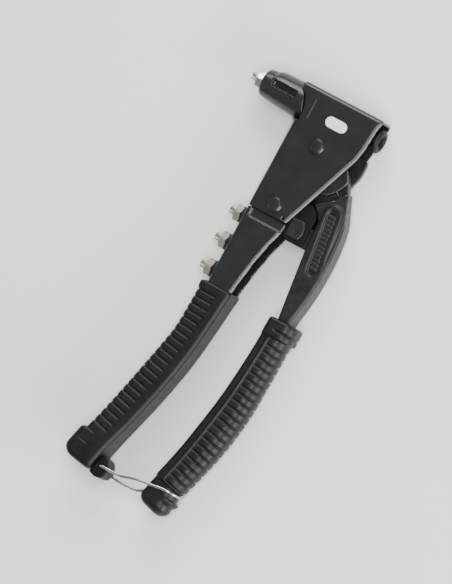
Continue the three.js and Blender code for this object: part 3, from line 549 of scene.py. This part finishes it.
def head_shell():
    fold_radius, bend = 3.2, 2.6
    cheeks = outline([(-26.3, 31.8, 1.5), *HEAD_REAR, (FRONT_X, HEAD_BOTTOM), (FRONT_X, 5, 1.2),
                      (-22.6, 8.2, 2), (-26.2, 8.9), (BARREL_END_X, 8.9), *CHEEK_FRONT[::-1]])
    shell = prism_z("head_shell_look", cheeks, -HEAD_HALF, HEAD_HALF)
    across = outline([(-60, -HEAD_HALF), (HEAD_TOP, -HEAD_HALF, fold_radius),
                      (HEAD_TOP, HEAD_HALF, fold_radius), (-60, HEAD_HALF)])
    combine(shell, prism_x("fold", across, -30, 40), "INTERSECT")
    for a, b in zip(HEAD_REAR, HEAD_REAR[1:]):
        for side in (-1, 1):
            cut(shell, edge_wedge(Vector(a[:2]), Vector(b[:2]), HEAD_HALF, BEVEL, side))
    for side in (-1, 1):
        edge = side * HEAD_HALF
        corner = outline([(edge - side * bend, FRONT_X - 6), (edge + side, FRONT_X - 6),
                          (edge + side, FRONT_X + bend), (edge, FRONT_X + bend), (edge, FRONT_X, bend),
                          (edge - side * bend, FRONT_X)])
        cut(shell, prism_y("corner", corner, -55, 8.6))
    cut(shell,
        block("hollow", FRONT_X + SHEET, 45, -60, HEAD_TOP - SHEET, -HEAD_IN, HEAD_IN),
        block("throat", -30, FRONT_X + SHEET + 1, 9.0, HEAD_TOP - SHEET, -HEAD_IN, HEAD_IN),
        prism_x("plug_relief", circle(AXIS_Y, 0, PLUG_R + GAP), 29.0, 40),
        prism_z("drain_hole", circle(2.6, -47.0, 0.8, 24), 4, BEYOND),
        *rivet_holes((0, 0), HANDLE_RIVET))
    fuse(shell, prism_z("crease", rectangle(-15.1, -14.5, 12, 25, 0.3, 0.3), HEAD_HALF - 0.6, HEAD_HALF + 0.3))
    return stand_for(soften(shell, 0.36, 14), "head_shell")


def label():
    low, high = cad("head_label")
    radius = (high.y - low.y) / 2 - 0.05
    badge = prism_z("head_label_look", rectangle(low.x, high.x, low.y, high.y, radius, radius),
                    HEAD_HALF - 0.5, high.z)
    return stand_for(chamfer(badge, 0.3), "head_label")


def rivet(node_name):
    low, high = cad(node_name)
    radius = (high.x - low.x) / 2
    x, y = (low.x + high.x) / 2, (low.y + high.y) / 2
    seat = HEAD_HALF + 0.05
    top = high.z
    half = [(seat - 0.3, 3.6), (seat, 3.6), (seat, radius - 0.05), (seat + 0.35, radius - 0.02),
            (seat + 0.7, radius - 0.18), (top - 0.35, radius - 0.85), (top - 0.12, radius - 1.1),
            (top, radius - 1.5), (top, 0)]
    profile = [(-s, r) for s, r in half[::-1]] + half
    body = turned_z(node_name + "_look", profile, x, y, 72)
    return stand_for(shade(body, 50), node_name)


def barrel():
    front, sides, slot_floor = BARREL_FRONT_X, 96, 6.4
    body = turned_x("barrel_look", [(front, 0), (front, 7.5), (front + 0.2, 7.9), (front + 0.6, 8.3),
                                    (front + 1.4, 8.7), (-40, 9.8), (-26, BARREL_R), (BARREL_END_X, BARREL_R),
                                    (BARREL_END_X, 0)], AXIS_Y, sides)
    cheek_edge = [(x - GAP - 0.05, y) for x, y in CHEEK_FRONT]
    outside = prism_z("outside", [(-70, 40), (-70, 5), (-19, 8.8), *cheek_edge[::-1], (-26.65, 40)], -20, 20)
    inside = block("inside", -30, BARREL_END_X, 9.3, HEAD_TOP - SHEET - GAP, -HEAD_IN + GAP, HEAD_IN - GAP)
    combine(body, fuse(outside, inside), "INTERSECT")
    pad = turned_x("pad", [(-45.2, 0), (-45.2, 8.6), (-44.6, 9.7), (-43.4, 10.35), (-40, 10.7),
                           (-27.2, BARREL_R), (-26.9, 10.6), (-26.9, 0)], AXIS_Y, sides)
    combine(pad, block("pad_keep", -45.6, -26.5, 23.6, 40, -20, 20), "INTERSECT")
    fuse(body, pad)
    slot = rectangle(-44, -26.8, 19.6, 23.4, 0.8, 0.3)
    cut(body, prism_z("slot", slot, -14, -slot_floor), prism_z("slot", slot, slot_floor, 14),
        prism_x("bore", circle(AXIS_Y, 0, BORE_R), -60, -10))
    return stand_for(soften(body, 0.35, 4), "barrel")


def rear_plug():
    back = cad("rear_plug")[1].x
    cap = turned_x("rear_plug_look", [(22.6, 3.1), (22.6, 4.5), (29.35, 4.5), (29.35, PLUG_R - 0.2),
                                      (29.5, PLUG_R), (30.2, PLUG_R), (30.9, PLUG_R - 0.35),
                                      (back - 0.2, PLUG_R - 1.0), (back, PLUG_R - 1.6), (back, 4.9),
                                      (back - 0.3, 4.4), (back - 0.9, 4.1), (back - 1.0, 3.8),
                                      (back - 1.0, 3.1), (22.6, 3.1)], AXIS_Y, 72)
    return stand_for(shade(cap, 45), "rear_plug")


# ------------------------------------------------------------------ nosepieces
NOSE_TIP = 4               # length of the round tip in front of the hexagon
HEX_R = 5.9                # to the hexagon's corners


def nosepiece(node_name, y, tip_x, seat_x, stub_x, tip_r, stub_r):
    """Round tip, hexagon and threaded stub, from tip_x back to seat_x and stub_x."""
    hex_x = tip_x + NOSE_TIP
    tip = turned_x(node_name + "_look", [(tip_x, 0), (tip_x, tip_r - 0.7), (tip_x + 0.2, tip_r - 0.25),
                                         (tip_x + 0.7, tip_r), (hex_x - 0.3, tip_r + 0.15),
                                         (hex_x + 1, tip_r + 0.5), (hex_x + 1, 0)], y, 48)
    nut = prism_x("nut", circle(y, 0, HEX_R, 6), hex_x, seat_x)
    rounding = turned_x("rounding", [(hex_x, 0), (hex_x, HEX_R * 0.84), (hex_x + 0.8, HEX_R + 0.05),
                                     (seat_x - 0.5, HEX_R + 0.05), (seat_x, HEX_R * 0.9), (seat_x, 0)], y, 48)
    combine(nut, rounding, "INTERSECT")
    fuse(tip, nut, prism_x("stub", circle(y, 0, stub_r, 32), seat_x - 0.5, stub_x))
    cut(tip, prism_x("bore", circle(y, 0, 1.8, 32), tip_x - 1, stub_x + 1))
    return stand_for(chamfer(tip, 0.14, 2, 30), node_name)


def noses():
    low, high = cad("nosepiece_fitted")
    nosepiece("nosepiece_fitted", AXIS_Y, low.x, BARREL_FRONT_X - GAP, high.x, 2.9, 4.6)
    for i in (1, 2, 3):
        low, high = cad(f"nosepiece_spare_{i}")
        y = (low.y + high.y) / 2
        boss_low, boss_high = cad(f"nosepiece_boss_{i}")
        nosepiece(f"nosepiece_spare_{i}", y, low.x, boss_low.x - GAP, high.x, 3.4, 2.7)
        start, seat, end = boss_low.x, FRONT_X - 0.05, boss_high.x
        collar = turned_x(f"nosepiece_boss_{i}_look",
                          [(start, 3.0), (start, 5.2), (start + 0.2, 5.7), (start + 0.7, 6.0), (seat, 6.0),
                           (seat, 3.8), (end, 3.8), (end, 3.0), (start, 3.0)], y, 56)
        stand_for(shade(collar, 45), f"nosepiece_boss_{i}")


# ------------------------------------------------------------------ fixed handle
def channel_stack(name, inset, top, bottom, open_rear):
    """The handle's outline drawn in by inset; open_rear runs it out past the handle's back."""
    rings = []
    for y in np.arange(top, bottom, -1.5).tolist() + [bottom]:
        x0 = along(CHANNEL_FRONT, y) + inset
        x1 = 40 if open_rear else smooth_along(CHANNEL_REAR, y)
        half = along(CHANNEL_HALF, y) - inset
        front = max(2.4 - inset, 0.5)
        ring = outline([(x1, half - BEVEL), (x1 - BEVEL, half), (x0, half, front), (x0, -half, front),
                        (x1 - BEVEL, -half), (x1, BEVEL - half)])
        rings.append([(x, y, z) for x, z in ring])
    return stacked(name, rings)


def handle_channel():
    channel = channel_stack("handle_channel_look", 0, -49.4, -204, False)
    cut(channel, channel_stack("hollow", SHEET, -48, -206, True))
    strip, strip_floor = rectangle(-18, 12, -55.2, -48, 0.8, 0), 7.6
    cut(channel, prism_z("strip", strip, strip_floor, BEYOND), prism_z("strip", strip, -BEYOND, -strip_floor))
    inner_front = FRONT_X + SHEET + GAP
    neck = prism_z("neck", outline([(inner_front, -56), (3.4, -56), (3.4, -44, 5), (-2, -33, 4),
                                    (inner_front, -33)]), -HEAD_IN + GAP, HEAD_IN - GAP)
    cut(neck, block("neck_hollow", inner_front + SHEET, 30, -80, -20, -NECK_IN, NECK_IN))
    bridge = block("bridge", FRONT_X + 0.9, FRONT_X + SHEET + 1.6, -53.4, -49.4, -HEAD_IN + GAP, HEAD_IN - GAP)
    fuse(channel, neck, bridge)
    cut(channel, *rivet_holes(HANDLE_RIVET))
    for i in (1, 2, 3):
        low, high = cad(f"nosepiece_boss_{i}")
        cut(channel, prism_x("boss_hole", circle((low.y + high.y) / 2, 0, 4.1), -30, -10))
    return stand_for(soften(channel, 0.36, 14), "handle_channel")


def stop_pieces():
    lug = prism_z("stop_lug_look", outline([(-11, -38, 2), (-11, -46, 2), (0, -51), (8, -57.4), (19.9, -57.4),
                                            (19.9, -39, 1), (18.2, -35.2), (13.4, -31.8, 1), (0, -33, 3)]),
                  -4.5, 4.5)
    cut(lug, *rivet_holes(HANDLE_RIVET), prism_z("pin_hole", circle(*STOP_PIN, 1.7), -6, 6))
    stand_for(soften(lug, 0.35, 4), "stop_lug")
    face = outline([(7.9, -43.2, 0.6), (7.9, -54.2, 0.6), (16.2, -54.2, 1.2), (17.6, -50.5, 6),
                    (17, -46.5, 3), (15.2, -43.2, 1.2)])
    plate = prism_z("stop_plate_look", face, 4.8, 7.2)
    cut(plate, prism_z("pin_hole", circle(*STOP_PIN, 1.45), 0, BEYOND))
    stand_for(soften(plate, 0.25, 5), "stop_plate")


# ------------------------------------------------------------------ grips
RIB_PITCH = 4.75
RIB_GROOVE_WIDTH = 0.55
GRIP_HALF = 9.35           # mid-plane to the ribbed part's side faces
GRIP_POINTS = 112          # points round each ring
RING_STEP = 0.32           # distance between rings


def pulse(distance, width):
    """Bell of height 1 centred on distance 0."""
    return math.exp(-((distance / width) ** 2))


def rib_groove(run, first, last):
    """1 in the middle of a groove, 0 on a rib, for ribs that start at first and end at last."""
    if run < first - 1 or run > last + 1:
        return 0
    phase = (run - first) / RIB_PITCH
    return pulse((phase - round(phase)) * RIB_PITCH, RIB_GROOVE_WIDTH)


def end_inset(y, top, bottom, r_top, r_bottom):
    """How far the outline draws in at height y to round both ends."""
    inset = 0
    for distance, radius in ((top - y, r_top), (y - bottom, r_bottom)):
        if distance < radius:
            inset = max(inset, radius - math.sqrt(max(radius**2 - (radius - distance) ** 2, 0)))
    return inset


def grip(name, top, bottom, shape, groove, lean):
    """Solid of many rings, tilted by lean(y).

    shape(y) gives (x0, x1, half, front, rear) and groove(from_front, from_rear, y, nz) the inward offset, where
    nz is the surface normal's part across the tool.
    """
    rings = []
    steps = int((top - bottom) / RING_STEP)
    for i in range(steps + 1):
        y = top + (bottom - top) * i / steps
        x0, x1, half, front, rear = shape(y)
        limit = min(half, (x1 - x0) / 2) - 0.05
        ring = resampled(section(x0, x1, half, min(front, limit), min(rear, limit), 8), GRIP_POINTS)
        pts = np.array(ring)
        tangent = np.roll(pts, -1, axis=0) - np.roll(pts, 1, axis=0)
        normal = np.column_stack([tangent[:, 1], -tangent[:, 0]])
        normal /= np.maximum(np.linalg.norm(normal, axis=1, keepdims=True), 1e-9)
        middle = (x0 + x1) / 2
        out = []
        for (x, z), (nx, nz) in zip(pts, normal):
            sink = groove(x - x0, x1 - x, y, nz)
            out.append((x - nx * sink, y + lean(y) * (x - middle), z - nz * sink))
        rings.append(out)
    return shade(stacked(name, rings))


def slope_of(front, rear, y):
    """Slope of the line midway between two outlines."""
    step = 4
    here = smooth_along(front, y) + smooth_along(rear, y)
    above = smooth_along(front, y + step) + smooth_along(rear, y + step)
    return (above - here) / 2 / step


def fixed_grip():
    low, high = cad("fixed_grip")
    top, bottom = high.y, low.y + 1.6

    def shape(y):
        inset = end_inset(y, top, bottom, 1.6, 3.6)
        bulge = ramp(-y, 211.4, 214.2)
        collar = ramp(-y, 100.8, 102.0) * (1 - ramp(-y, 104.8, 107.2))
        x0 = smooth_along(FIXED_FRONT, y) - 0.75 * collar - 3.2 * bulge + 3.4 * ramp(-y, 225, 233)
        x1 = smooth_along(FIXED_REAR, y) + 0.15 * collar
        half = GRIP_HALF + 0.3 * collar + (REST - GRIP_HALF) * ramp(-y, 196, 221)
        return x0 + inset, x1 - inset * 0.7, half - inset, 3.0 + 0.4 * bulge, 2.2

    def groove(from_front, from_rear, y, nz):
        side = ramp(from_rear, 6.2, 7.0)
        face = 0.55 + 0.45 * abs(nz)
        ribs = rib_groove(-y, 107.2, 209.5) * side * face * 0.9
        crease = pulse(-y - 212.4, 0.55) * ramp(from_rear, 10, 13) * 0.5
        short = pulse(-y - 219.5, 0.5) * ramp(from_front, 3.5, 5) * ramp(from_rear, 9, 11) * 0.45
        return ribs + crease + short

    def lean(y):
        follow = -slope_of(FIXED_FRONT, FIXED_REAR, max(y, -208)) * 0.8 * ramp(-y, 101, 130)
        return follow + (-0.16 - follow) * ramp(-y, 208, 222)

    return stand_for(grip("fixed_grip_look", top, bottom, shape, groove, lean), "fixed_grip")


def lever_grip():
    low, high = cad("lever_grip")
    top, bottom = high.y, low.y + 1.4

    def shape(y):
        inset = end_inset(y, top, bottom, 2.0, 5.5)
        collar = 1 - ramp(-y, 111.0, 113.4)
        neck = ramp(-y, 217.0, 218.6)
        x0 = smooth_along(LEVER_GRIP_FRONT, y)
        x1 = smooth_along(LEVER_GRIP_REAR, y) + 1.55 * collar
        if y < -217:
            lip = ramp(-y, 223.3, 224.2) * (1 - ramp(-y, 224.6, 228.4))
            x1 = 27.4 - 1.7 * neck + 2.0 * lip - 0.9 * ramp(-y, 224, 229) - 1.6 * ramp(-y, 230, 236)
        half = GRIP_HALF + (REST - GRIP_HALF) * collar - 1.25 * neck
        rear = 8.2 - 0.6 * collar - 0.8 * neck
        return x0 + inset, x1 - inset, half - inset, 2.0 + 1.0 * neck, rear

    def groove(from_front, from_rear, y, nz):
        ribbed = ramp(from_front, 6.3, 7.0)
        ribs = rib_groove(-y, 107.4, 216.2) * ribbed * 0.95
        on_face = ramp(abs(nz), 0.80, 0.95) * ramp(-y, 111.5, 114) * (1 - ramp(-y, 216, 218))
        bead = pulse(from_front - 5.5, 0.6) * on_face * 0.5
        return ribs - bead

    def lean(y):
        return -slope_of(LEVER_GRIP_FRONT, LEVER_GRIP_REAR, max(y, -214)) * 0.85 * ramp(-y, 101, 125)

    return stand_for(grip("lever_grip_look", top, bottom, shape, groove, lean), "lever_grip")


# ------------------------------------------------------------------ latch
WIRE_R = 0.9


def latch_lug():
    lug = prism_z("latch_lug_look", outline([(-27.4, -221.4, 1), (-22, -222.4, 3.5), (-19.2, -228.4, 4),
                                             (-20.8, -233.8, 3), (-25.6, -234.8, 1.5), (-29.9, -233.4),
                                             (-28.6, -227), (-27.2, -221.8)]), -6.5, 6.5)
    fuse(lug, block("tongue", -38, -26.5, -231.1, -223.7, -4, 4))
    cut(lug, prism_z("eye", circle(*LATCH, 1.25, 32), -8, 8))
    return stand_for(soften(lug, 0.35, 4), "latch_lug")


def wire_latch():
    lx, ly = LATCH
    near = [(lx, ly, 2.4), (lx, ly, 6.2), (lx + 0.35, ly, 7.5), (lx + 1.6, ly + 0.05, 8.1), (-16, -227.2, 8.4),
            (-9, -227, 8.7), (-1.6, -224.3, 9.15), (9, -222.7, 9.3), (17.6, -221.4, 9.35)]
    around = []
    for k in range(1, 8):
        angle = math.pi / 2 - math.pi * k / 8
        around.append((17.8 + 9.6 * math.cos(angle), -221.3 - 0.9 * k / 8, 9.35 * math.sin(angle)))
    far = [(17.4, -222.4, -9.35), (9, -223.4, -9.3), (3.4, -226.6, -9.2), (-1.8, -230.2, -9.0),
           (-8, -230.9, -8.7), (-19, -231.0, -8.4), (-22.8, -229.6, -8.2), (lx + 0.96, ly - 0.9, -7.9),
           (lx, ly, -6.4), (lx, ly, -2.4)]
    curve = bpy.data.curves.new("wire_latch_look", "CURVE")
    curve.dimensions = "3D"
    curve.bevel_depth = WIRE_R * MM
    curve.bevel_resolution = 5
    curve.use_fill_caps = True
    spline = curve.splines.new("NURBS")
    points = near + around + far
    spline.points.add(len(points) - 1)
    for target, point in zip(spline.points, points):
        target.co = (*put(*point), 1)
    spline.use_endpoint_u = True
    spline.order_u = 3
    spline.resolution_u = 10
    obj = bpy.data.objects.new("wire_latch_look", curve)
    bpy.context.scene.collection.objects.link(obj)
    depsgraph = bpy.context.evaluated_depsgraph_get()
    mesh = bpy.data.meshes.new_from_object(obj.evaluated_get(depsgraph))
    bpy.data.objects.remove(obj)
    wire = bpy.data.objects.new("wire_latch_look", mesh)
    bpy.context.scene.collection.objects.link(wire)
    return stand_for(shade(wire, 60), "wire_latch")


# ------------------------------------------------------------------ lever
def arc(radius, start, end, steps):
    angles = [math.radians(start + (end - start) * k / steps) for k in range(steps + 1)]
    return [(radius * math.cos(a), radius * math.sin(a)) for a in angles]


def panel_outline(grow):
    """Long oval of the lever's relief, widened by grow."""
    run = (PANEL_END - PANEL_TOP).normalized()
    side = Vector((-run.y, run.x))
    radius = PANEL_R + grow
    out = []
    for k in range(17):
        t = math.pi * k / 16
        out.append(PANEL_END - side * radius * math.cos(t) + run * radius * math.sin(t))
    for k in range(17):
        t = math.pi * k / 16
        out.append(PANEL_TOP + side * radius * math.cos(t) - run * radius * math.sin(t))
    return [tuple(p) for p in out]


def lever_arm(name, top):
    rings, corner = [], 1.4
    for y in np.arange(top, TANG_BOTTOM, -1.0).tolist() + [TANG_BOTTOM]:
        ring = section(smooth_along(ARM_FRONT, max(y, ARM_END)) + along(TANG_FRONT, y),
                       smooth_along(ARM_REAR, max(y, ARM_END)) + along(TANG_REAR, y),
                       along(ARM_HALF, y), corner, corner, 4)
        rings.append([(x, y, z) for x, z in ring])
    return stacked(name, rings)


def lever():
    fork_out, hub_r, web_half = 6.8, 9.6, 2.6
    body = lever_arm("lever_look", -34)
    shoulder = prism_z("shoulder", outline([*arc(33.4, -49, -30, 12), (29.3, -13.6, 0.8), (32.6, -22, 20),
                                            (36.2, -30, 20), (38.2, -35.6), (21.6, -38), (19.2, -33.6),
                                            (14.8, -30.4)]), -5.6, 5.6)
    taper = prism_x("taper", [(-10, -3.3), (-14, -3.5), (-22, -4.5), (-34, -5.8), (-60, -5.8), (-60, 5.8),
                              (-34, 5.8), (-22, 4.5), (-14, 3.5), (-10, 3.3)], 0, 60)
    combine(shoulder, taper, "INTERSECT")
    web = prism_z("web", [(-6.4, -7), (8.6, -4.2), (24, -6), (27.6, -12.6), (29, -16), (30, -36), (21.6, -37),
                          (19.2, -33.6), (12.4, -28)], -web_half, web_half)
    hub = prism_z("hub", circle(0, 0, hub_r, 64), -fork_out, fork_out)
    fuse(body, shoulder, web, hub)
    near_rib = outline([(3, -8.5), (3, 7), (12, 3), (24, -4.6, 1), (27.4, -10.6, 3),
                        *arc(29.6, -31, -50, 8), (14, -24, 3)])
    far_rib = outline([(3, -8.5), (3, 8.5), *arc(28.8, 12, -50, 20), (14, -24, 3)])
    fork = outline([(-5, -6), (5, -6), (6.4, 4), (5, 10, 1.5), (1.5, 12.6, 1.5), (1.5, 15.9), (2.9, 17),
                    (4.3, 18.9), (4.3, 24.3, 4.2), (-4.3, 24.3, 4.2), (-4.3, 14), (-8, 4)])
    for rib, low, high in ((near_rib, NECK_IN, fork_out), (far_rib, -fork_out, -NECK_IN)):
        fuse(body, prism_z("rib", rib, low, high), prism_z("fork", fork, low, high))
    link = prism_z("link", outline([(4, -9), (12, -8.6), (26.6, -20.2), *arc(29.6, -38, -48, 6), (14, -24)]),
                   -fork_out, fork_out)
    foot = prism_z("foot", outline([(20.2, -57.4), (24.4, -57.4), (24.4, -43), (20.2, -45, 1)]), -4.6, 4.6)
    fuse(body, link, foot)
    face = along(ARM_HALF, -48)
    pad_top = face + 0.15
    fuse(body, prism_z("pad", panel_outline(2.6), face - 1.9, pad_top))
    fuse(body, prism_z("outer_border", panel_outline(1.75), face - 1.7, pad_top + 0.45))
    cut(body, prism_z("between", panel_outline(1.15), pad_top - 0.1, face + 4))
    fuse(body, prism_z("inner_border", panel_outline(0.6), face - 1.5, pad_top + 0.4))
    cut(body, prism_z("panel_recess", panel_outline(-0.05), face - 0.65, face + 5))
    cut(body, prism_z("pivot_bore", circle(0, 0, 5.3), -BEYOND, BEYOND))
    return stand_for(soften(body, 0.38, 4), "lever")


def lever_panel():
    """Recessed oval with plain cross ribs."""
    floor = along(ARM_HALF, -48) - 0.75
    plate = prism_z("lever_panel_look", panel_outline(-0.25), floor - 0.3, floor + 0.1)
    half_length, half_width = 2.3, 0.75
    for i in range(PANEL_RIBS):
        x, y = PANEL_TOP.lerp(PANEL_END, (i + 0.5) / PANEL_RIBS)
        ridge = rectangle(x - half_length, x + half_length, y - half_width, y + half_width, 0.5, 0.5)
        fuse(plate, prism_z("ridge", ridge, floor - 0.2, floor + 0.85))
    return stand_for(soften(plate, 0.2, 3), "lever_panel")


# ------------------------------------------------------------------ carried CAD nodes
def dress_cad_nodes():
    """Gives every CAD node its finish; the ones that no piece replaces stay in sight."""
    for name, obj in frame["nodes"].items():
        obj.data.materials.clear()
        obj.data.materials.append(SLOT_MATERIAL[NODE_SLOT[name]])
        for polygon in obj.data.polygons:
            polygon.use_smooth = True
        obj.data.set_sharp_from_angle(angle=math.radians(35))


# ------------------------------------------------------------------ studio
FLOOR_REACH = 6.0          # metres
FLOOR_DROP = 0.0004        # metres below the resting plane, so that no faces coincide
WORLD_STRENGTH = 0.26
LAMPS = [                  # name, place from the tool's middle, size, both in metres, and power in watts
    ("rear_softbox", (1.45, -0.4, 0.52), (1.5, 0.5), 34),
    ("overhead_strip", (0.5, 0.0, 1.5), (1.5, 0.3), 26),
    ("top_softbox", (-0.35, 1.25, 0.75), (1.0, 0.7), 20),
    ("front_fill", (-1.5, -0.7, 0.9), (0.5, 0.5), 3),
]


def studio():
    centre = put(-6, -100, 0)
    floor_mesh = bpy.data.meshes.new("floor")
    corners = [(-1, -1), (1, -1), (1, 1), (-1, 1)]
    floor_mesh.from_pydata([(x * FLOOR_REACH, y * FLOOR_REACH, 0) for x, y in corners], [], [(0, 1, 2, 3)])
    floor = bpy.data.objects.new("floor", floor_mesh)
    bpy.context.scene.collection.objects.link(floor)
    floor.location.z = -FLOOR_DROP
    material, _, shader = new_material("floor")
    shader.inputs["Base Color"].default_value = (0.94, 0.94, 0.94, 1)
    shader.inputs["Roughness"].default_value = 0.9
    shader.inputs["Specular IOR Level"].default_value = 0.1
    floor.data.materials.append(material)

    world = bpy.data.worlds.new("studio")
    bpy.context.scene.world = world
    world.use_nodes = True
    background = world.node_tree.nodes["Background"]
    background.inputs["Color"].default_value = (1, 1, 1, 1)
    background.inputs["Strength"].default_value = WORLD_STRENGTH

    for name, offset, size, power in LAMPS:
        light = bpy.data.lights.new(name, "AREA")
        light.shape = "RECTANGLE"
        light.size, light.size_y = size
        light.energy = power
        lamp = bpy.data.objects.new(name, light)
        lamp.location = centre + Vector(offset)
        lamp.rotation_euler = (centre - lamp.location).to_track_quat("-Z", "Y").to_euler()
        bpy.context.scene.collection.objects.link(lamp)


def camera():
    tilt = math.radians(20)        # toward the tool's rear
    turn = math.radians(28.5)      # roll round the line of sight
    distance = 4.0                 # metres, far enough for a nearly parallel view
    frame_height = 0.3456          # metres seen from top to bottom
    back = Vector((math.sin(tilt), 0, math.cos(tilt)))
    across = Vector((math.cos(tilt), 0, -math.sin(tilt)))
    up = Vector((0, 1, 0)) * math.cos(turn) - across * math.sin(turn)
    right = up.cross(back)
    aim = put(-6, -101.3, REST)
    data = bpy.data.cameras.new("camera")
    data.sensor_width = 36
    data.lens = data.sensor_width * distance / frame_height
    data.clip_end = 50
    cam = bpy.data.objects.new("camera", data)
    matrix = cam.matrix_world.to_3x3()
    matrix.col[0], matrix.col[1], matrix.col[2] = right, up, back
    cam.matrix_world = matrix.to_4x4()
    cam.location = aim + back * distance
    bpy.context.scene.collection.objects.link(cam)
    bpy.context.scene.camera = cam


dress_cad_nodes()
head_shell()
label()
rivet("pivot_rivet")
rivet("handle_rivet")
barrel()
rear_plug()
noses()
handle_channel()
stop_pieces()
fixed_grip()
lever_grip()
latch_lug()
wire_latch()
lever()
lever_panel()
studio()
camera()
